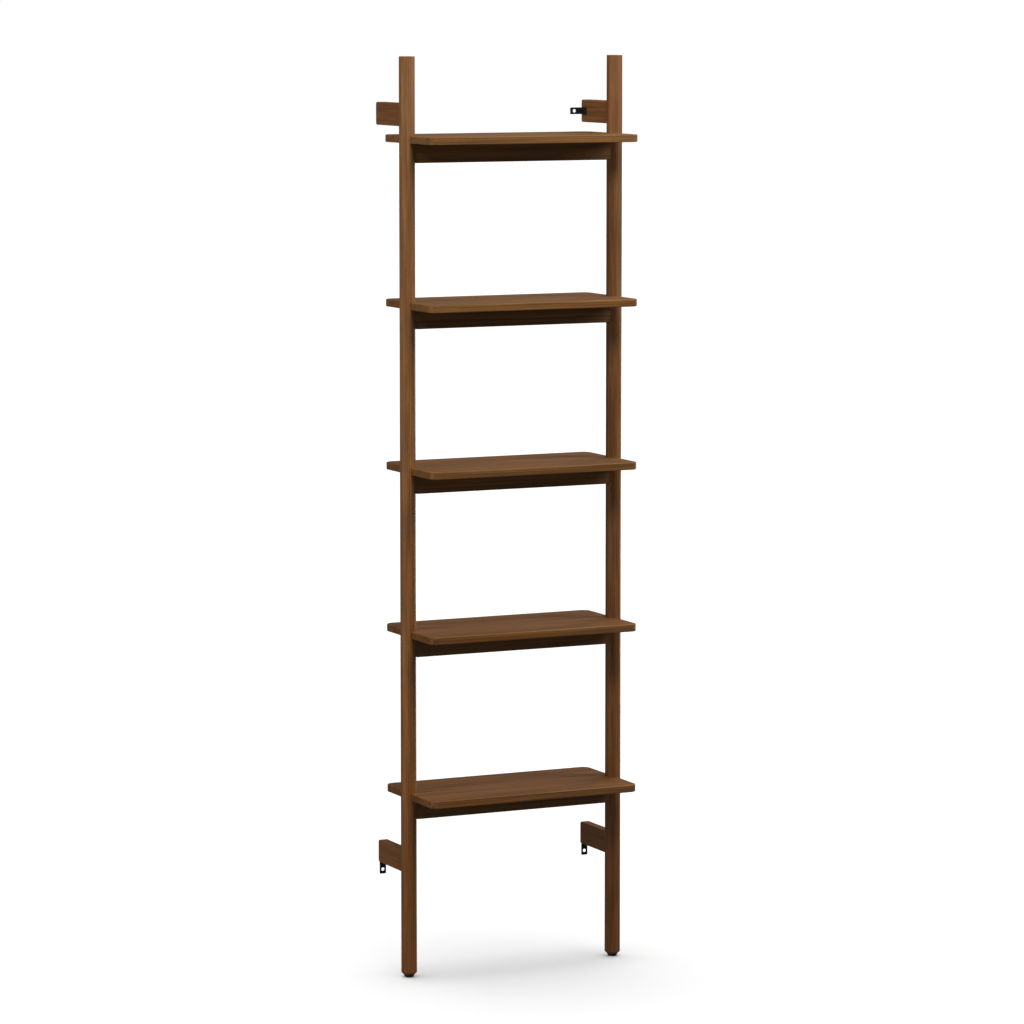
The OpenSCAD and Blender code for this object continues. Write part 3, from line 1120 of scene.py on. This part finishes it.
# Lens and sensor in millimetres, and how far the lens is shifted, as a share of the frame
LENS = 154.01
SENSOR = 36
SHIFT = -0.02
# How far the camera sees and where it stands, in metres, and how it is turned, in degrees
VIEW_LIMIT = 200
CAMERA_PLACE = (-4.535, -9.521, 2.363)
TILT_DOWN = 6.46
TURNED_RIGHT = 25.493


def build_floor():
    bm = bmesh.new()
    bmesh.ops.create_circle(
        bm, cap_ends=True, segments=FLOOR_SEGMENTS, radius=FLOOR_RADIUS
    )
    floor = to_piece(bm, "floor")
    s = Shader("floor_paper", Roughness=0.9, Specular_IOR_Level=0.0)
    place = s.add("TexCoord", 3)
    fibre = s.noise(place, (FLOOR_FIBRE,) * 3, 2, 0.5)
    darker, paler = FLOOR_ALBEDO - FLOOR_MOTTLE, FLOOR_ALBEDO + FLOOR_MOTTLE
    shade = s.mix(fibre, grey(darker), grey(paler))
    s.drive(Base_Color=shade)
    floor.data.materials.append(s.material)
    floor.visible_diffuse = False
    floor.visible_glossy = False
    floor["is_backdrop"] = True


def build_sky():
    """White to the eye, and a faint even light from every direction."""
    world = bpy.data.worlds.new("studio")
    scene.world = world
    world.use_nodes = True
    tree = world.node_tree
    tree.nodes.clear()
    seen = tree.nodes.new("ShaderNodeBackground")
    glow = tree.nodes.new("ShaderNodeBackground")
    for background, strength in ((seen, 1.0), (glow, SKY_POWER)):
        background.inputs["Color"].default_value = grey(1)
        background.inputs["Strength"].default_value = strength
    ray = tree.nodes.new("ShaderNodeLightPath")
    blend = tree.nodes.new("ShaderNodeMixShader")
    output = tree.nodes.new("ShaderNodeOutputWorld")
    tree.links.new(ray.outputs["Is Camera Ray"], blend.inputs[0])
    tree.links.new(glow.outputs[0], blend.inputs[1])
    tree.links.new(seen.outputs[0], blend.inputs[2])
    tree.links.new(blend.outputs[0], output.inputs[0])


def build_lights():
    """Softboxes round the shelf, which leave the floor alone, and soft suns for the floor."""
    shelf = bpy.data.collections.new("shelf")
    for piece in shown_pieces():
        shelf.objects.link(piece)
    ground = bpy.data.collections.new("ground")
    ground.objects.link(scene.objects["floor"])
    for name, (bearing, height, power, colour) in SOFTBOXES.items():
        data = bpy.data.lights.new(name, "AREA")
        data.shape = "SQUARE"
        data.size = SOFTBOX_SIZE
        data.energy = power
        data.color = colour
        lamp = bpy.data.objects.new(name, data)
        scene.collection.objects.link(lamp)
        angle = math.radians(bearing)
        lamp.location = (
            SOFTBOX_REACH * math.sin(angle),
            -SOFTBOX_REACH * math.cos(angle),
            height,
        )
        aim = Vector((0, 0, AIM_HEIGHT)) - lamp.location
        lamp.rotation_euler = aim.to_track_quat("-Z", "Y").to_euler()
        lamp.light_linking.receiver_collection = shelf
    for name, (width, strength) in SUNS.items():
        data = bpy.data.lights.new(name, "SUN")
        data.energy = strength
        data.angle = math.radians(width)
        sun = bpy.data.objects.new(name, data)
        sun.rotation_euler.x = math.radians(-SUN_TILT)
        scene.collection.objects.link(sun)
        sun.light_linking.receiver_collection = ground


def build_camera():
    data = bpy.data.cameras.new("camera")
    data.lens = LENS
    data.sensor_width = SENSOR
    data.shift_y = SHIFT
    data.clip_end = VIEW_LIMIT
    camera = bpy.data.objects.new("camera", data)
    scene.collection.objects.link(camera)
    camera.location = CAMERA_PLACE
    camera.rotation_euler = (
        math.radians(90 - TILT_DOWN),
        0,
        math.radians(-TURNED_RIGHT),
    )
    scene.camera = camera


build_floor()
build_sky()
build_lights()
build_camera()
scene.view_settings.view_transform = "Standard"
